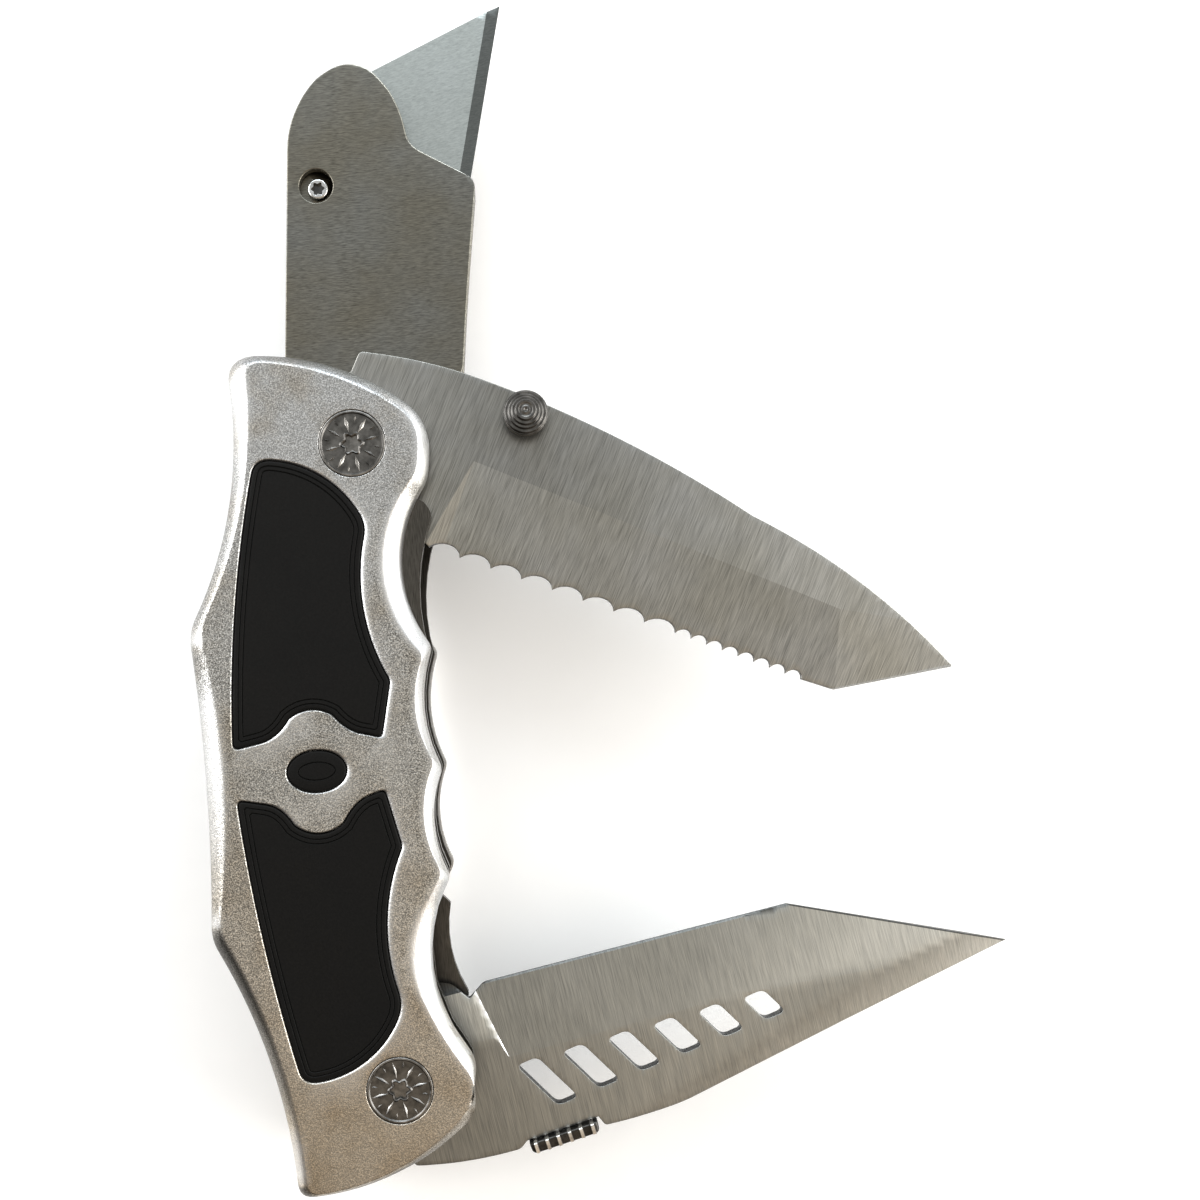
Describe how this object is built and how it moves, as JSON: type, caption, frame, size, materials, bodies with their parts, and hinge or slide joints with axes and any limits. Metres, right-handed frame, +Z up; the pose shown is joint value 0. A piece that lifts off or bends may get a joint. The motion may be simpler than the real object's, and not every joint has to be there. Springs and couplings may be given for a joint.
{
  "type": "rigging knife",
  "caption": "Folding pocket knife: serrated blade and utility-blade holder on the upper pivot, slotted blade on the lower pivot, aluminium handle with rubber inserts.",
  "frame": {"origin": "on the rear scale's flat face, midway between the two pivots", "axes": "+Z up through the stack of layers towards the front scale, +Y from the lower pivot to the upper pivot, +X to the side where the tools fold in"},
  "size_m": [0.1116, 0.168, 0.0224],
  "materials": {
    "cast_aluminium": "fine sand-cast grain, bright chamfer",
    "grip_rubber": "satin black rubber",
    "liner_steel": "dark rolled sheet",
    "blade_steel": "satin, grain across the blade",
    "holder_steel": "olive grey, fine grain along X",
    "razor_steel": "cool satin with a ground edge",
    "fastener_steel": "dark nickelled",
    "bronze": "plain"
  },
  "bodies": {
    "handle": {"front_scale": "cast_aluminium", "rear_scale": "cast_aluminium", "front_upper_insert": "grip_rubber", "front_oval_insert": "grip_rubber", "front_lower_insert": "grip_rubber", "rear_upper_insert": "grip_rubber", "rear_oval_insert": "grip_rubber", "rear_lower_insert": "grip_rubber", "front_lock_liner": "liner_steel", "front_divider_liner": "liner_steel", "rear_lock_liner": "liner_steel", "rear_liner": "liner_steel", "serrated_bay_spacer": "liner_steel", "slotted_bay_spacer": "liner_steel", "holder_bay_spacer": "liner_steel", "serrated_stop_pin": "fastener_steel", "slotted_stop_pin": "fastener_steel", "holder_stop_pin": "fastener_steel", "upper_back_rivet": "fastener_steel", "lower_back_rivet": "fastener_steel", "upper_pivot_barrel": "fastener_steel", "upper_front_pivot_screw": "fastener_steel", "upper_rear_pivot_screw": "fastener_steel", "lower_pivot_barrel": "fastener_steel", "lower_front_pivot_screw": "fastener_steel", "lower_rear_pivot_screw": "fastener_steel", "serrated_front_washer": "bronze", "serrated_rear_washer": "bronze", "slotted_front_washer": "bronze", "slotted_rear_washer": "bronze", "holder_front_washer": "bronze", "holder_rear_washer": "bronze"},
    "serrated_tool": {"serrated_blade": "blade_steel", "thumb_stud": "fastener_steel"},
    "slotted_tool": {"slotted_blade": "blade_steel", "thumb_tab": "fastener_steel"},
    "holder_tool": {"holder_front_plate": "holder_steel", "holder_core": "holder_steel", "holder_back_plate": "holder_steel", "utility_blade": "razor_steel", "holder_screw": "fastener_steel", "holder_screw_nut": "fastener_steel"}
  },
  "joints": [
    {"name": "serrated_fold", "type": "hinge", "parent": "handle", "child": "serrated_tool", "pos_m": [0, 0.04375, 0.0159], "axis": [0, 0, 1], "range_deg": [-63, 110]},
    {"name": "slotted_fold", "type": "hinge", "parent": "handle", "child": "slotted_tool", "pos_m": [0, -0.04375, 0.0123], "axis": [0, 0, 1], "range_deg": [-97, 79]},
    {"name": "holder_fold", "type": "hinge", "parent": "handle", "child": "holder_tool", "pos_m": [0, 0.04375, 0.0076], "axis": [0, 0, 1], "range_deg": [-175, 0]}
  ]
}
